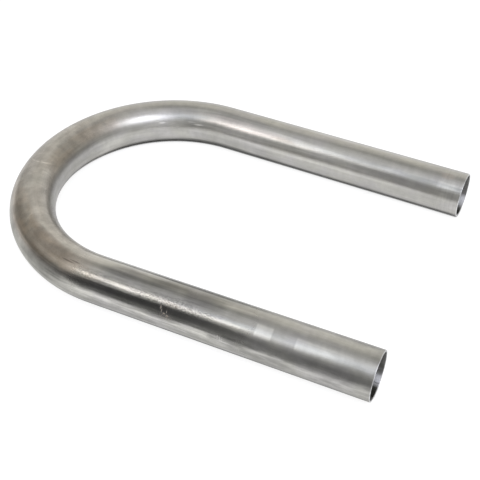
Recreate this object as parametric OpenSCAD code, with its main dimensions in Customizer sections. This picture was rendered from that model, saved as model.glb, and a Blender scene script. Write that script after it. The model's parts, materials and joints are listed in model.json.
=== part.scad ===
// Return bend: one length of thin-walled steel tube, bent on a mandrel into a long U.
// The U lies flat on the floor, with its legs along +X and its closed end at -X.
// The origin is on the floor, under the middle of the U's length and width.

/* [Tube] */
// Outside diameter of the tube
tube_od = 50.8; // [20:0.1:90]
// Wall of the tube in the straight legs
wall = 1.65; // [0.9:0.05:4]

/* [Bend] */
// Radius of the bend, at the middle of the tube
bend_radius = 152.4; // [75:0.1:400]
// Angle that the bend turns through, at which 180 leaves the legs parallel and more closes them in
bend_angle = 182; // [170:0.5:190]
// Part of the wall that stretching takes off the outside of the bend, in percent
outer_thinning = 12; // [0:1:25]

/* [Legs] */
// Straight length of the front leg
front_leg = 304.8; // [60:0.1:800]
// Straight length of the rear leg
rear_leg = 304.8; // [60:0.1:800]
// Width of the edge broken off the sawn ends, inside and outside
edge_break = 0.3; // [0.1:0.05:0.5]

/* [Hidden] */
$fn = 144;

// The U's middle plane is y = 0, and these are its two sides
FRONT = -1;
REAR = 1;

outer_r = tube_od / 2;
bore_r = outer_r - wall;

// Each leg leans in by this angle, and leaves the bend at this polar angle on its own side
toe_in = bend_angle / 2 - 90;
leg_polar = 90 - toe_in;

// Each half of the bend is swept this many degrees past the middle plane, and cut off there
overrun = 1.5;

// The bore's half turn lies this far out from the outside's, which thins the outer wall at
// the closed end, thickens the inner one as much, and leaves the legs' walls even
bore_shift = wall * outer_thinning / 100;

// The broken edges leave at least a third of the wall as a flat end face
edge = min(edge_break, wall / 3);

// The U runs from its closed end to the corner of its longer leg, measured from the bend's centre
function leg_reach(length) =
    bend_radius * sin(toe_in) + length * cos(toe_in) + (outer_r - edge) * abs(sin(toe_in));
closed_end = -bend_radius - outer_r;
open_end = max(leg_reach(front_leg), leg_reach(rear_leg));
middle = (closed_end + open_end) / 2;
overall = open_end - closed_end;

// One side of the U as a round bar: half of the bend, and the leg that the children give,
// which stands on the end of the bend with its +Z along the leg
module side_bar(side, radius)
    rotate([0, 0, side * leg_polar]) {
        rotate_extrude(angle = side * (bend_angle / 2 + overrun))
            translate([bend_radius, 0])
                circle(r = radius);
        translate([bend_radius, 0, 0])
            rotate([side * 90, 0, 0])
                children();
    }

// Keeps what lies on one side of the middle plane
module half(side)
    intersection() {
        children();
        translate([0, side * overall, 0])
            cube(2 * overall, center = true);
    }

// Outside of a leg, with the edge of its sawn end broken
module leg_outside(length)
    rotate_extrude()
        polygon([
            [0, 0],
            [outer_r, 0],
            [outer_r, length - edge],
            [outer_r - edge, length],
            [0, length],
        ]);

// Bore of a leg, opened by the broken edge and run out past the sawn end
module leg_bore(length)
    rotate_extrude()
        polygon([
            [0, 0],
            [bore_r, 0],
            [bore_r, length - edge],
            [bore_r + 2 * edge, length + edge],
            [0, length + edge],
        ]);

// One side of the tube, whose bore starts its leg earlier by its shift
module side_tube(side, length)
    difference() {
        half(side)
            side_bar(side, outer_r)
                leg_outside(length);
        translate([-bore_shift, 0, 0])
            side_bar(side, bore_r)
                leg_bore(length + bore_shift * cos(toe_in));
    }

module return_bend()
    color("#b9b4aa")
        translate([-middle, 0, outer_r]) {
            side_tube(FRONT, front_leg);
            side_tube(REAR, rear_leg);
        }

return_bend();
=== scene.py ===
import json
import math

import bpy
import numpy as np
from mathutils import Matrix, Vector


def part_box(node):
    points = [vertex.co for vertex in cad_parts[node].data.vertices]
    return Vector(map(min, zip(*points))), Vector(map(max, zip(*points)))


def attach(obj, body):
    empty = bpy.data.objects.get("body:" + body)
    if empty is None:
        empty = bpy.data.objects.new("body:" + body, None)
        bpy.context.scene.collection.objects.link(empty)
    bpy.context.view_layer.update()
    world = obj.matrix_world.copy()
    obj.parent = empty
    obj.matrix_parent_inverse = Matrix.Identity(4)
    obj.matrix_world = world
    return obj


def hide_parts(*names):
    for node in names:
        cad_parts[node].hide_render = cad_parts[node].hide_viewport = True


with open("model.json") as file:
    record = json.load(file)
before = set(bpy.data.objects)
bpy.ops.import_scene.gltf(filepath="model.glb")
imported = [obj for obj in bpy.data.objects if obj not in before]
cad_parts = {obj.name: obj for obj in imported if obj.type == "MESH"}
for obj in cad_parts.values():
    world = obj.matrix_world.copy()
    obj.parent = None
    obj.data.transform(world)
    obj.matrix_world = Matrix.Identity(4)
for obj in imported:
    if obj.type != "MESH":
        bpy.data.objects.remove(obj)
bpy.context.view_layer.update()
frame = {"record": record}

# Sizes of the tube, in metres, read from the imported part
box_low, box_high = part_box("return_bend")
mounts = {mount["name"]: mount for mount in frame["record"]["mounts"]}
OUTER_R = (box_high.z - box_low.z) / 2
BORE_R = mounts["front_leg_bore"]["dims"]["r_mm"] / 1000
BEND_R = (box_high.y - box_low.y) / 2 - OUTER_R
BEND_CENTRE = Vector((box_low.x + OUTER_R + BEND_R, 0, OUTER_R))
TOE_IN = math.asin(mounts["front_leg_outside"]["axis"][1])
EDGE = 0.0003
LEG = mounts["front_leg_outside"]["dims"]["length_mm"] / 1000 + EDGE
WALL = OUTER_R - BORE_R
BORE_SHIFT = 0.12 * WALL

# Lengths along the middle of the tube, from the front leg's end to the rear leg's
BEND_START = LEG
BEND_LENGTH = BEND_R * (math.pi + 2 * TOE_IN)
BEND_END = BEND_START + BEND_LENGTH
TOTAL = BEND_END + LEG

COLUMNS = 128


def station(s):
    """Middle of the tube at length s, and the direction there that points out of the U."""
    turned = min(max((s - BEND_START) / BEND_R, 0), BEND_LENGTH / BEND_R)
    angle = -math.pi / 2 + TOE_IN - turned
    out = Vector((math.cos(angle), math.sin(angle), 0))
    along = Vector((math.sin(angle), -math.cos(angle), 0))
    past = min(s - BEND_START, 0) + max(s - BEND_END, 0)
    return BEND_CENTRE + BEND_R * out + past * along, out


def wall_line(radius, steps_leg, steps_bend):
    """(length, radius) pairs along one face of the wall, closer together near the ends."""
    near = [EDGE, 1.6 * EDGE, 4 * EDGE, 0.003]
    leg = np.linspace(0.003, BEND_START, steps_leg)[1:].tolist()
    bend = np.linspace(BEND_START, BEND_END, steps_bend)[1:-1].tolist()
    first = near + leg
    lengths = first + bend + [TOTAL - s for s in reversed(first)]
    return [(s, radius) for s in lengths]


def rim_line():
    """(depth, radius) pairs across the rear leg's sawn end, from the outside to the bore."""
    turn = [math.radians(a) for a in (22.5, 45, 67.5, 90)]
    outside = [(EDGE * (1 - math.sin(a)), OUTER_R - EDGE * (1 - math.cos(a))) for a in turn]
    inside = [(EDGE * (1 - math.sin(a)), BORE_R + EDGE * (1 - math.cos(a))) for a in reversed(turn)]
    flat = [(0, OUTER_R - EDGE * k) for k in (1.3, 2.0)]
    flat += [(0, BORE_R + EDGE * k) for k in (2.0, 1.3)]
    return outside + flat + inside


def make_tube():
    """The bent tube as one closed skin: outside, rear rim, bore and front rim."""
    rim = rim_line()
    loop = wall_line(OUTER_R, 60, 200)
    loop += [(TOTAL - depth, radius) for depth, radius in rim]
    loop += list(reversed(wall_line(BORE_R, 40, 120)))
    loop += [(depth, radius) for depth, radius in reversed(rim)]
    points = []
    tube_space = []
    for s, radius in loop:
        middle, out = station(s)
        inside = min(max((OUTER_R - radius) / WALL, 0), 1)
        middle = middle - inside * BORE_SHIFT * out.x * out
        for column in range(COLUMNS):
            phi = 2 * math.pi * column / COLUMNS
            side = radius * math.cos(phi)
            rise = radius * math.sin(phi)
            points.append(middle + side * out + Vector((0, 0, rise)))
            tube_space.append((side, rise, s))
    faces = []
    rows = len(loop)
    for row in range(rows):
        here = row * COLUMNS
        there = (row + 1) % rows * COLUMNS
        for column in range(COLUMNS):
            beside = (column + 1) % COLUMNS
            faces.append((here + column, here + beside, there + beside, there + column))
    mesh = bpy.data.meshes.new("bent_tube")
    mesh.from_pydata(points, [], faces)
    mesh.attributes.new("tube_space", "FLOAT_VECTOR", "POINT")
    mesh.attributes["tube_space"].data.foreach_set("vector", np.array(tube_space).ravel())
    mesh.shade_smooth()
    mesh.update()
    piece = bpy.data.objects.new("bent_tube", mesh)
    bpy.context.scene.collection.objects.link(piece)
    return piece


class Nodes:
    """Short ways to add nodes to one material or world."""

    def __init__(self, tree):
        self.tree = tree
        tree.nodes.clear()

    def add(self, kind, inputs=None, **settings):
        node = self.tree.nodes.new(kind)
        for name, value in settings.items():
            setattr(node, name, value)
        for name, value in (inputs or {}).items():
            self.put(node.inputs[name], value)
        return node

    def put(self, socket, value):
        if isinstance(value, bpy.types.NodeSocket):
            self.tree.links.new(value, socket)
        else:
            socket.default_value = value

    def math(self, operation, a, b=0.0, c=0.0, clamp=False):
        node = self.add("ShaderNodeMath", {0: a, 1: b, 2: c}, operation=operation, use_clamp=clamp)
        return node.outputs[0]

    def vector(self, operation, a, b=(0, 0, 0), out=0):
        return self.add("ShaderNodeVectorMath", {0: a, 1: b}, operation=operation).outputs[out]

    def ramp(self, value, low, high, to_low=0.0, to_high=1.0):
        inputs = {"Value": value, "From Min": low, "From Max": high, "To Min": to_low, "To Max": to_high}
        return self.add("ShaderNodeMapRange", inputs, interpolation_type="SMOOTHSTEP").outputs[0]

    def mix(self, factor, a, b):
        node = self.add("ShaderNodeMix", {0: factor, 6: a, 7: b}, data_type="RGBA")
        return node.outputs[2]

    def noise(self, vector, scale, detail=3.0, rough=0.55):
        inputs = {"Vector": vector, "Scale": scale, "Detail": detail, "Roughness": rough}
        return self.add("ShaderNodeTexNoise", inputs).outputs[0]


# Finish along the tube: (length from the front leg's end, roughness, tone, dullness of the bend)
FINISH = [
    (0.000, 0.35, 0.93, 0.0),
    (0.112, 0.34, 0.93, 0.0),
    (0.138, 0.19, 0.97, 0.0),
    (0.280, 0.17, 0.97, 0.0),
    (0.303, 0.21, 0.98, 0.3),
    (0.344, 0.34, 1.00, 1.0),
    (0.450, 0.35, 1.05, 1.0),
    (0.600, 0.34, 1.05, 1.0),
    (0.655, 0.32, 1.02, 0.3),
    (0.720, 0.315, 1.01, 0.0),
    # the raised tone along the rear leg's highlight is painted highlight
    (0.770, 0.31, 1.07, 0.0),
    (0.870, 0.31, 1.07, 0.0),
    (0.970, 0.32, 1.00, 0.0),
    (1.094, 0.32, 1.01, 0.0),
]

# Prints left by clamps, smoother and with a painted highlight across them: (lengths where it fades
# in, is full and ends, degrees from and to, tone, roughness added)
PRINTS_AND_SHEEN = [
    (0.010, 0.050, 0.077, 48, 68, 1.32, -0.03),
    (0.101, 0.103, 0.118, 49, 69, 1.40, -0.02),
    (1.064, 1.068, 1.086, 128, 136, 1.20, 0.00),
]

# Areas broken up by fine wear: (length, degrees, half length, half width, tone)
WORN = [
    (0.204, 56, 0.046, 0.0062, 0.56),
    (0.300, 54, 0.030, 0.0060, 0.70),
    (0.430, 142, 0.065, 0.0090, 0.80),
    (0.415, 160, 0.060, 0.0060, 0.72),
    (0.500, 110, 0.090, 0.0150, 0.90),
]

# Marks on the outside, and painted highlights and shade: (length, degrees round from the U's
# outside, half length, half width, tone, roughness added)
MARKS_AND_PAINTED_LIGHT = [
    # mill stains along the top of the front leg, the paler skin between them, and painted shade and
    # highlight round its highlight
    (0.175, 87, 0.028, 0.011, 0.72, 0.03),
    (0.250, 87, 0.042, 0.011, 0.68, 0.03),
    (0.165, 125, 0.045, 0.006, 0.86, 0.02),
    (0.182, 107, 0.064, 0.012, 0.74, 0.02),
    (0.200, 68, 0.075, 0.007, 0.88, 0.00),
    (0.046, 100, 0.040, 0.011, 1.20, 0.03),
    (0.092, 101, 0.026, 0.010, 1.16, 0.03),
    (0.190, 103, 0.007, 0.005, 1.14, 0.05),
    (0.237, 99, 0.014, 0.003, 1.16, 0.05),
    (0.310, 112, 0.048, 0.011, 1.25, 0.03),
    (0.372, 93, 0.026, 0.007, 1.12, 0.00),
    (0.303, 70, 0.028, 0.008, 1.14, 0.00),
    (0.300, 53, 0.022, 0.004, 0.80, 0.00),
    (0.262, 43, 0.020, 0.004, 1.16, 0.00),
    (0.172, 22, 0.018, 0.004, 1.16, 0.00),
    (0.216, 103, 0.018, 0.006, 0.90, 0.00),
    # painted glints where the front leg's highlight begins
    (0.306, 56, 0.0035, 0.0018, 1.15, 0.00),
    (0.316, 58, 0.0030, 0.0014, 1.15, 0.00),
    # rubbed streaks and duller bands low on the front leg, some bands painted shade and light in its
    # reflections
    (0.262, 20, 0.075, 0.0040, 0.87, 0.04),
    (0.040, 42, 0.050, 0.0070, 0.90, 0.00),
    (0.292, 10, 0.038, 0.0036, 1.28, 0.03),
    (0.224, 8, 0.034, 0.0017, 1.48, 0.05),
    (0.175, 5, 0.018, 0.0022, 1.28, 0.05),
    (0.112, 11, 0.036, 0.0019, 1.36, 0.06),
    (0.040, 4, 0.040, 0.0018, 1.16, 0.05),
    (0.270, -9, 0.090, 0.0034, 0.78, 0.04),
    (0.125, 1, 0.055, 0.0030, 0.90, 0.04),
    (0.100, 18, 0.040, 0.0035, 0.86, 0.00),
    (0.036, 15, 0.040, 0.0042, 0.88, 0.00),
    (0.136, 13, 0.030, 0.0046, 0.62, 0.04),
    (0.218, 13, 0.026, 0.0040, 0.72, 0.04),
    (0.140, 26, 0.060, 0.0040, 1.25, 0.00),
    # scuffs on the front leg
    (0.1535, 14, 0.0008, 0.0030, 1.5, 0.20),
    (0.1510, 12, 0.0008, 0.0035, 1.5, 0.20),
    (0.1490, 10, 0.0012, 0.0020, 1.4, 0.20),
    (0.160, 15, 0.008, 0.0040, 0.85, 0.04),
    (0.328, 66, 0.0070, 0.0009, 0.55, 0.05),
    (0.321, 71, 0.0060, 0.0008, 0.58, 0.05),
    # pale and dark areas on the bend
    (0.362, 108, 0.016, 0.012, 1.08, 0.02),
    (0.362, 74, 0.034, 0.011, 0.72, 0.00),
    (0.440, 98, 0.040, 0.014, 1.06, 0.03),
    (0.366, 23, 0.048, 0.014, 0.59, 0.02),
    (0.343, 6, 0.034, 0.008, 0.75, 0.02),
    (0.415, 26, 0.030, 0.010, 0.80, 0.02),
    (0.472, 61, 0.038, 0.012, 1.18, 0.00),
    (0.502, 129, 0.034, 0.012, 1.22, 0.00),
    (0.540, 166, 0.065, 0.013, 0.82, 0.00),
    (0.590, 88, 0.070, 0.012, 1.06, 0.02),
    # pale rubs inside the bend, a painted halo and painted shade round the highlight at the bend's top,
    # painted light low inside, and scratches at its top
    (0.625, 184, 0.019, 0.006, 1.20, 0.05),
    (0.612, 212, 0.025, 0.006, 1.25, 0.00),
    (0.722, 190, 0.030, 0.007, 1.15, 0.05),
    (0.666, 119, 0.048, 0.010, 1.26, 0.00),
    (0.702, 162, 0.032, 0.006, 1.26, 0.00),
    (0.758, 144, 0.045, 0.007, 0.78, 0.00),
    (0.701, 152, 0.0060, 0.0012, 1.5, 0.25),
    (0.694, 148, 0.0040, 0.0009, 1.3, 0.20),
    (0.756, 154, 0.0090, 0.0012, 1.45, 0.20),
    (0.744, 149, 0.0080, 0.0010, 1.35, 0.15),
    # painted highlight and painted shade on the rear leg: lighter and darker lengths along its highlight,
    # its shaded side and its underside
    (0.846, 132, 0.100, 0.008, 1.54, 0.00),
    (0.890, 146, 0.150, 0.005, 0.80, 0.00),
    (0.900, 162, 0.190, 0.006, 1.38, 0.00),
    (1.045, 144, 0.065, 0.008, 0.76, 0.00),
    (0.828, 214, 0.085, 0.006, 0.48, 0.00),
    (1.045, 203, 0.055, 0.005, 1.16, 0.00),
    (1.050, 88, 0.035, 0.008, 1.10, 0.00),
    (0.800, 184, 0.080, 0.012, 0.89, 0.00),
    (0.960, 75, 0.100, 0.007, 1.18, 0.00),
    (0.808, 116, 0.055, 0.007, 0.86, 0.00),
    (0.945, 124, 0.035, 0.006, 1.12, 0.00),
    (1.088, 147, 0.014, 0.008, 0.86, 0.00),
]

# Curved scratches: (length, degrees, radius, which side of the middle shows, tone)
SCRATCHES = [
    (0.526, 97, 0.0180, -1, 1.28),
    (0.515, 104, 0.0060, -1, 1.16),
    (0.474, 120, 0.0190, 1, 1.12),
    (0.398, 98, 0.0160, 1, 1.10),
]

# Brown stains: (length, degrees, half length, half width, strength, share broken into specks)
STAINS = [
    (0.2165, 37, 0.0010, 0.0022, 0.70, 0.3),
    (0.2150, 31, 0.0009, 0.0028, 0.75, 0.3),
    (0.2120, 27, 0.0022, 0.0010, 0.75, 0.3),
    (0.2095, 32, 0.0008, 0.0022, 0.65, 0.3),
    (0.2085, 23, 0.0018, 0.0012, 0.65, 0.3),
    (0.206, 50, 0.0080, 0.0030, 0.3, 0.8),
    (0.362, 72, 0.0360, 0.0110, 0.35, 0.1),
    (0.318, 66, 0.0140, 0.0025, 0.35, 0.5),
    (0.210, 20, 0.0080, 0.0035, 0.25, 0.6),
    (0.872, 136, 0.0150, 0.0030, 0.15, 0.0),
    (1.074, 103, 0.0080, 0.0060, 0.30, 0.2),
]

# Painted highlights and painted shade just inside each open end: (length, degrees)
BORE_HIGHLIGHTS = [(0.004, 238), (TOTAL - 0.004, 302)]
SHADED = [(0.006, 272), (TOTAL - 0.006, 262)]

# Painted warm tint of the rear leg's highlight: (length, degrees, half length, half width)
PAINTED_HIGHLIGHT_TINT = (0.815, 131, 0.060, 0.008)


def steel_material():
    material = bpy.data.materials.new("tube_steel")
    material.use_nodes = True
    n = Nodes(material.node_tree)
    place = n.add("ShaderNodeAttribute", attribute_name="tube_space").outputs["Vector"]
    side, rise, length = n.add("ShaderNodeSeparateXYZ", {0: place}).outputs

    # Drawn bands and streaks run along the tube, rings run round it, and mottling lies over both
    bands = n.noise(n.vector("MULTIPLY", place, (1, 1, 0.06)), 150, 3)
    streaks = n.noise(n.vector("MULTIPLY", place, (1, 1, 0.03)), 700, 4)
    rings = n.noise(n.vector("MULTIPLY", place, (0.1, 0.1, 1)), 520, 4)
    patches = n.noise(place, 38, 3)
    hues = n.noise(n.vector("MULTIPLY", place, (1, 1, 0.6)), 55, 3)
    cloud = n.noise(place, 150, 4)
    grain = n.noise(place, 900, 2)

    # The finish changes along the tube at edges that wander with the mottling
    wander = n.math("MULTIPLY", n.math("SUBTRACT", patches, 0.5), 0.04)
    along = n.math("DIVIDE", n.math("ADD", length, wander), TOTAL)

    def profile(index):
        node = n.add("ShaderNodeValToRGB", {0: along})
        stops = node.color_ramp.elements
        while len(stops) < len(FINISH):
            stops.new(1.0)
        for stop, row in zip(stops, FINISH):
            stop.position = row[0] / TOTAL
            stop.color = (row[index], row[index], row[index], 1)
        return node.outputs[0]

    def away(s, degrees):
        """Vector to here from a point on the outside of the tube."""
        phi = math.radians(degrees)
        return n.vector("SUBTRACT", place, (OUTER_R * math.cos(phi), OUTER_R * math.sin(phi), s))

    def spot(s, degrees, half_length, half_width):
        """1 in the middle of an oval, falling to 0 past its uneven edge."""
        scaled = n.vector("MULTIPLY", away(s, degrees), (1 / half_width, 1 / half_width, 1 / half_length))
        reach = n.math("ADD", n.vector("LENGTH", scaled, out=1), n.ramp(bands, 0.3, 0.7, -0.3, 0.3))
        return n.ramp(reach, 0.4, 1.2, 1, 0)

    def between(value, low, high, soft):
        """1 from low to high, falling to 0 over a soft edge outside them."""
        return n.math("MULTIPLY", n.ramp(value, low - soft, low), n.ramp(value, high, high + soft, 1, 0))

    def tint(shade, pattern, amount):
        """Lightens and darkens a shade by the amount at the ends of a pattern."""
        return n.math("MULTIPLY", shade, n.ramp(pattern, 0.3, 0.7, 1 - amount, 1 + amount))

    def toned(shade, mask, tone):
        return n.math("MULTIPLY", shade, n.math("MULTIPLY_ADD", mask, tone - 1, 1.0))

    degrees_round = n.math("MULTIPLY", n.math("ARCTAN2", rise, side), 180 / math.pi)
    rough = profile(1)
    dull = n.math("MULTIPLY", profile(3), n.ramp(side, -0.98 * OUTER_R, -0.7 * OUTER_R))
    grey = n.mix(n.ramp(hues, 0.35, 0.62), (0.449, 0.440, 0.427, 1), (0.451, 0.444, 0.415, 1))
    brown = n.math("MULTIPLY", between(degrees_round, 48, 78, 20), n.ramp(length, 0.40, 0.50, 1, 0))
    inner_brown = n.math("MULTIPLY", between(degrees_round, 118, 150, 15), between(length, 0.53, 0.63, 0.04))
    brown = n.math("MAXIMUM", brown, n.math("MULTIPLY", inner_brown, 0.7))
    tan = n.mix(brown, (0.457, 0.433, 0.399, 1), (0.486, 0.427, 0.353, 1))
    tan = n.mix(n.ramp(hues, 0.48, 0.62, 0.0, 0.4), tan, (0.445, 0.437, 0.402, 1))
    tan = n.mix(n.ramp(side, 0.82 * OUTER_R, 0.97 * OUTER_R), tan, (0.447, 0.440, 0.404, 1))
    colour = n.mix(dull, grey, tan)
    shade = tint(tint(tint(tint(profile(2), patches, 0.05), cloud, 0.04), bands, 0.06), streaks, 0.03)
    shade = tint(shade, rings, 0.012)
    # Painted shade: the steel is darker low on the tube, towards the floor
    shade = n.math("MULTIPLY", shade, n.ramp(rise, -0.5 * OUTER_R, 0.35 * OUTER_R, 0.88, 1.0))
    mottle = n.noise(place, 85, 3)
    fine = n.math("ADD", n.ramp(mottle, 0.35, 0.65, -0.10, 0.10), n.ramp(grain, 0.35, 0.65, -0.06, 0.06))
    shade = n.math("MULTIPLY", shade, n.math("MULTIPLY_ADD", n.math("MAXIMUM", dull, 0.2), fine, 1.0))

    # Low on the front leg the skin is rubbed in patches
    rubbed = n.noise(n.vector("MULTIPLY", place, (1, 1, 0.2)), 260, 4)
    low_strip = n.math("MULTIPLY", between(degrees_round, -14, 20, 8), n.ramp(length, 0.30, 0.36, 1, 0))
    patchy = n.ramp(rubbed, 0.38, 0.62, -0.13, 0.13)
    shade = n.math("MULTIPLY", shade, n.math("MULTIPLY_ADD", low_strip, patchy, 1.0))

    rough = n.math("MULTIPLY_ADD", n.math("SUBTRACT", cloud, 0.5), 0.05, rough)
    rough = n.math("MULTIPLY_ADD", n.math("SUBTRACT", bands, 0.5), 0.06, rough)
    rough = n.math("MULTIPLY_ADD", n.math("SUBTRACT", streaks, 0.5), 0.05, rough)
    # Clamp prints, with a painted highlight across them
    for start, full, end, low, high, tone, polished in PRINTS_AND_SHEEN:
        mask = n.math("MULTIPLY", n.ramp(length, start, full), n.ramp(length, end, end + 0.002, 1, 0))
        mask = n.math("MULTIPLY", mask, between(degrees_round, low, high, 8))
        shade = toned(shade, mask, tone)
        rough = n.math("MULTIPLY_ADD", mask, polished, rough)
    for s, degrees, half_length, half_width, tone in WORN:
        mask = n.math("MULTIPLY", spot(s, degrees, half_length, half_width), n.ramp(grain, 0.48, 0.55))
        shade = toned(shade, mask, tone)
    # Marks, and painted highlights and shade
    for s, degrees, half_length, half_width, tone, dulled in MARKS_AND_PAINTED_LIGHT:
        mask = spot(s, degrees, half_length, half_width)
        shade = toned(shade, mask, tone)
        rough = n.math("MULTIPLY_ADD", mask, dulled, rough)
    for s, degrees, radius, shown, tone in SCRATCHES:
        off_line = n.math("SUBTRACT", n.vector("LENGTH", away(s, degrees), out=1), radius)
        line = n.ramp(n.math("ABSOLUTE", off_line), 0.0003, 0.0014, 1, 0)
        line = n.math("MULTIPLY", line, n.ramp(cloud, 0.38, 0.55, 0.3, 1.0))
        ahead = n.math("MULTIPLY", n.math("SUBTRACT", length, s), shown / radius)
        shade = toned(shade, n.math("MULTIPLY", line, n.ramp(ahead, 0.45, 0.8)), tone)
    metal = 1.0
    # Painted warm tint along the rear leg's highlight
    colour = n.mix(spot(*PAINTED_HIGHLIGHT_TINT), colour, (0.469, 0.441, 0.423, 1))
    for s, degrees, half_length, half_width, strength, broken in STAINS:
        mask = n.math("MULTIPLY", spot(s, degrees, half_length, half_width), strength)
        mask = n.math("MULTIPLY", mask, n.ramp(grain, 0.48, 0.56, 1 - broken, 1.0))
        colour = n.mix(mask, colour, (0.42, 0.335, 0.25, 1))
        rough = n.math("MULTIPLY_ADD", mask, 0.14, rough)
        metal = n.math("SUBTRACT", metal, mask, clamp=True)

    # Turned rings show in the last of the rear leg
    turned = n.ramp(length, TOTAL - 0.032, TOTAL - 0.022)
    ringed = n.ramp(rings, 0.35, 0.6, -0.02, 0.07)
    shade = n.math("MULTIPLY", shade, n.math("MULTIPLY_ADD", turned, ringed, 1.0))

    # The bore is duller, and the sawn rims are bright, their pale colour partly a painted highlight
    from_axis = n.vector("LENGTH", n.vector("MULTIPLY", place, (1, 1, 0)), out=1)
    bore = n.ramp(from_axis, BORE_R + 0.1 * WALL, BORE_R + 0.4 * WALL, 1, 0)
    to_end = n.math("MINIMUM", length, n.math("SUBTRACT", TOTAL, length))
    rim = n.ramp(to_end, 1.2 * EDGE, 2.0 * EDGE, 1, 0)
    colour = n.mix(bore, colour, (0.41, 0.405, 0.39, 1))
    # Painted highlights inside the open ends
    for s, degrees in BORE_HIGHLIGHTS:
        mask = n.math("MULTIPLY", spot(s, degrees, 0.020, 0.010), bore)
        colour = n.mix(mask, colour, (0.95, 0.95, 0.96, 1))
    # Painted shade inside the open ends
    for s, degrees in SHADED:
        mask = n.math("MULTIPLY", spot(s, degrees, 0.020, 0.011), bore)
        colour = n.mix(mask, colour, (0.10, 0.10, 0.085, 1))
    colour = n.mix(rim, colour, (0.72, 0.72, 0.72, 1))
    rough = n.math("MULTIPLY_ADD", n.math("SUBTRACT", 0.45, rough), bore, rough)
    base = n.vector("SCALE", colour)
    n.put(base.node.inputs["Scale"], shade)

    height = n.math("MULTIPLY_ADD", patches, 5.0, n.math("MULTIPLY_ADD", cloud, 0.9, streaks))
    height = n.math("MULTIPLY_ADD", bands, 1.5, height)
    pitted = n.math("MULTIPLY", between(length, 0.14, 0.26, 0.03), between(degrees_round, 40, 66, 8))
    height = n.math("MULTIPLY_ADD", n.math("MULTIPLY", pitted, grain), 3.0, height)
    bump = n.add("ShaderNodeBump", {"Height": height, "Strength": 0.2, "Distance": 0.0001})
    shader = n.add("ShaderNodeBsdfPrincipled", {
        "Base Color": base,
        "Metallic": metal,
        "Roughness": rough,
        "Specular Tint": (0.78, 0.78, 0.78, 1),
        "Normal": bump.outputs[0],
    })
    n.add("ShaderNodeOutputMaterial", {"Surface": shader.outputs[0]})
    return material


# Camera, at the photograph's viewing angle
CAMERA_AZIMUTH = math.radians(26.216)
CAMERA_ELEVATION = math.radians(41.894)
CAMERA_ROLL = math.radians(-0.299)
CAMERA_TARGET = Vector((0.03251, -0.00831, 0))
CAMERA_DISTANCE = 0.96988
CAMERA_LENS = 64.454


def direction(azimuth, elevation):
    """Unit vector at an azimuth from -Y towards +X and an elevation above the floor, in radians."""
    level = math.cos(elevation)
    return Vector((math.sin(azimuth) * level, -math.cos(azimuth) * level, math.sin(elevation)))


def from_camera(azimuth, elevation):
    """Unit vector at degrees to the right of the camera's side of the object, and above the floor."""
    return direction(CAMERA_AZIMUTH + math.radians(azimuth), math.radians(elevation))


def make_camera():
    data = bpy.data.cameras.new("camera")
    data.sensor_width = 36
    data.lens = CAMERA_LENS
    camera = bpy.data.objects.new("camera", data)
    back = direction(CAMERA_AZIMUTH, CAMERA_ELEVATION)
    turn = back.to_track_quat("Z", "Y").to_matrix().to_4x4() @ Matrix.Rotation(CAMERA_ROLL, 4, "Z")
    camera.matrix_world = Matrix.Translation(CAMERA_TARGET + CAMERA_DISTANCE * back) @ turn
    bpy.context.scene.collection.objects.link(camera)
    bpy.context.scene.camera = camera


def make_lamp(name, shape, size, azimuth, elevation, distance, watts, colour):
    """A soft box that faces the middle of the part."""
    data = bpy.data.lights.new(name, "AREA")
    data.shape = shape
    data.size, data.size_y = size
    data.energy = watts
    data.color = colour
    lamp = bpy.data.objects.new(name, data)
    away = from_camera(azimuth, elevation)
    lamp.location = CAMERA_TARGET + distance * away
    lamp.rotation_mode = "QUATERNION"
    lamp.rotation_quaternion = away.to_track_quat("Z", "Y")
    bpy.context.scene.collection.objects.link(lamp)


def make_floor():
    mesh = bpy.data.meshes.new("floor")
    half = 200.0
    corners = [(-half, -half, 0), (half, -half, 0), (half, half, 0), (-half, half, 0)]
    mesh.from_pydata(corners, [], [(0, 1, 2, 3)])
    floor = bpy.data.objects.new("floor", mesh)
    bpy.context.scene.collection.objects.link(floor)
    material = bpy.data.materials.new("floor_white")
    material.use_nodes = True
    n = Nodes(material.node_tree)
    path = n.add("ShaderNodeLightPath").outputs
    seen = n.math("ADD", path["Is Camera Ray"], path["Is Glossy Ray"])
    seen = n.math("ADD", seen, path["Is Transmission Ray"])
    diffuse = n.add("ShaderNodeBsdfDiffuse", {"Color": (0.3, 0.3, 0.3, 1)})

    # The shadow is a thin line inside the U for the camera, and wider in the part's reflections
    position = n.add("ShaderNodeNewGeometry").outputs["Position"]
    x, y, _ = n.add("ShaderNodeSeparateXYZ", {0: position}).outputs
    behind = n.math("MINIMUM", n.math("SUBTRACT", x, BEND_CENTRE.x), 0.0)
    from_middle = n.math("SQRT", n.math("MULTIPLY_ADD", y, y, n.math("MULTIPLY", behind, behind)))
    washed = n.ramp(from_middle, BEND_R - 0.004, BEND_R + 0.002)
    washed = n.math("MULTIPLY", washed, n.ramp(y, 0, 0.04, 1, 0))
    washed = n.math("MULTIPLY", washed, path["Is Camera Ray"])
    reach = n.ramp(path["Is Camera Ray"], 0.0, 1.0, 0.013, 0.0033)
    open_sky = n.add("ShaderNodeAmbientOcclusion", {"Distance": reach}).outputs["AO"]
    lit = n.math("MAXIMUM", n.ramp(open_sky, 0.25, 0.75), washed)
    seen = n.math("MULTIPLY", seen, n.math("MULTIPLY", lit, 0.86))
    glow = n.add("ShaderNodeEmission", {"Color": (1, 1, 1, 1), "Strength": seen})
    both = n.add("ShaderNodeAddShader", {0: diffuse.outputs[0], 1: glow.outputs[0]})
    n.add("ShaderNodeOutputMaterial", {"Surface": both.outputs[0]})
    mesh.materials.append(material)


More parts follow.
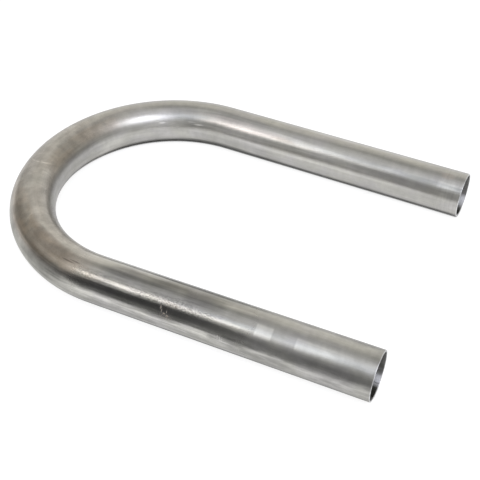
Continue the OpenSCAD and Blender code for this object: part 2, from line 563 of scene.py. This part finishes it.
def make_flag():
    """A dark card in front of the front leg, which only the part's reflections show."""
    mesh = bpy.data.meshes.new("flag")
    front = -0.26
    foot = [(-0.36, 0.020), (-0.11, 0.022), (-0.04, 0.011), (0.08, 0.006), (0.13, 0.004), (0.34, 0.010)]
    top = [(0.34, 0.087), (0.12, 0.088), (0.02, 0.113), (-0.05, 0.108), (-0.36, 0.110)]
    outline = [(across, front, up) for across, up in foot + top]
    mesh.from_pydata(outline, [], [range(len(outline))])
    flag = bpy.data.objects.new("flag", mesh)
    bpy.context.scene.collection.objects.link(flag)
    material = bpy.data.materials.new("flag_dark")
    material.use_nodes = True
    n = Nodes(material.node_tree)
    position = n.add("ShaderNodeTexCoord").outputs["Object"]
    x, _, z = n.add("ShaderNodeSeparateXYZ", {0: position}).outputs
    paler = n.math("MAXIMUM", n.ramp(x, -0.03, 0.15), n.ramp(x, -0.22, -0.11, 1, 0))
    paler = n.math("MAXIMUM", paler, n.ramp(z, 0.025, 0.060, 1, 0))
    paler = n.math("MAXIMUM", paler, n.ramp(z, 0.10, 0.15))
    tone = n.mix(paler, (0.07, 0.07, 0.072, 1), (0.22, 0.22, 0.22, 1))
    card = n.add("ShaderNodeEmission", {"Color": tone})
    n.add("ShaderNodeOutputMaterial", {"Surface": card.outputs[0]})
    mesh.materials.append(material)
    flag.visible_camera = False
    flag.visible_diffuse = False
    flag.visible_shadow = False


def make_world():
    world = bpy.data.worlds.new("studio")
    world.use_nodes = True
    bpy.context.scene.world = world
    n = Nodes(world.node_tree)
    look = n.add("ShaderNodeTexCoord").outputs["Generated"]

    def lobe(azimuth, elevation, inner, outer):
        """1 within inner degrees of a direction, falling to 0 at outer degrees."""
        near = n.vector("DOT_PRODUCT", look, from_camera(azimuth, elevation), out=1)
        return n.ramp(near, math.cos(math.radians(outer)), math.cos(math.radians(inner)))

    room = n.mix(lobe(175, 0, 12, 56), (0.455, 0.452, 0.435, 1), (1.2, 1.19, 1.16, 1))
    room = n.mix(lobe(175, 32, 8, 27), room, (0.90, 0.875, 0.815, 1))
    room = n.mix(lobe(15, 10, 10, 45), room, (0.76, 0.76, 0.77, 1))
    room = n.mix(lobe(-70, 76, 6, 36), room, (0.80, 0.80, 0.81, 1))
    room = n.mix(lobe(-115, 12, 8, 40), room, (0.285, 0.268, 0.245, 1))
    room = n.mix(lobe(115, 8, 8, 38), room, (0.41, 0.392, 0.362, 1))
    room = n.mix(lobe(-48, 20, 6, 32), room, (0.56, 0.556, 0.548, 1))
    room = n.mix(lobe(24, 58, 10, 42), room, (0.80, 0.80, 0.84, 1))
    light = n.add("ShaderNodeBackground", {"Color": room, "Strength": 1.0})
    n.add("ShaderNodeOutputWorld", {"Surface": light.outputs[0]})


tube = make_tube()
tube.data.materials.append(steel_material())
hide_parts("return_bend")
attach(tube, "root")

make_floor()
make_world()
make_camera()
make_flag()
make_lamp("warm_lamp", "RECTANGLE", (0.84, 0.43), -62.0, 46.3, 2.0, 2.25, (1.0, 0.97, 0.95))
make_lamp("left_lamp", "ELLIPSE", (0.9, 0.9), -34, 58, 2.0, 1.6, (0.76, 0.86, 1.0))
make_lamp("cool_lamp", "ELLIPSE", (1.2, 1.2), 24, 56, 2.0, 10.5, (0.87, 0.90, 1.0))

bpy.context.scene.view_settings.view_transform = "Standard"
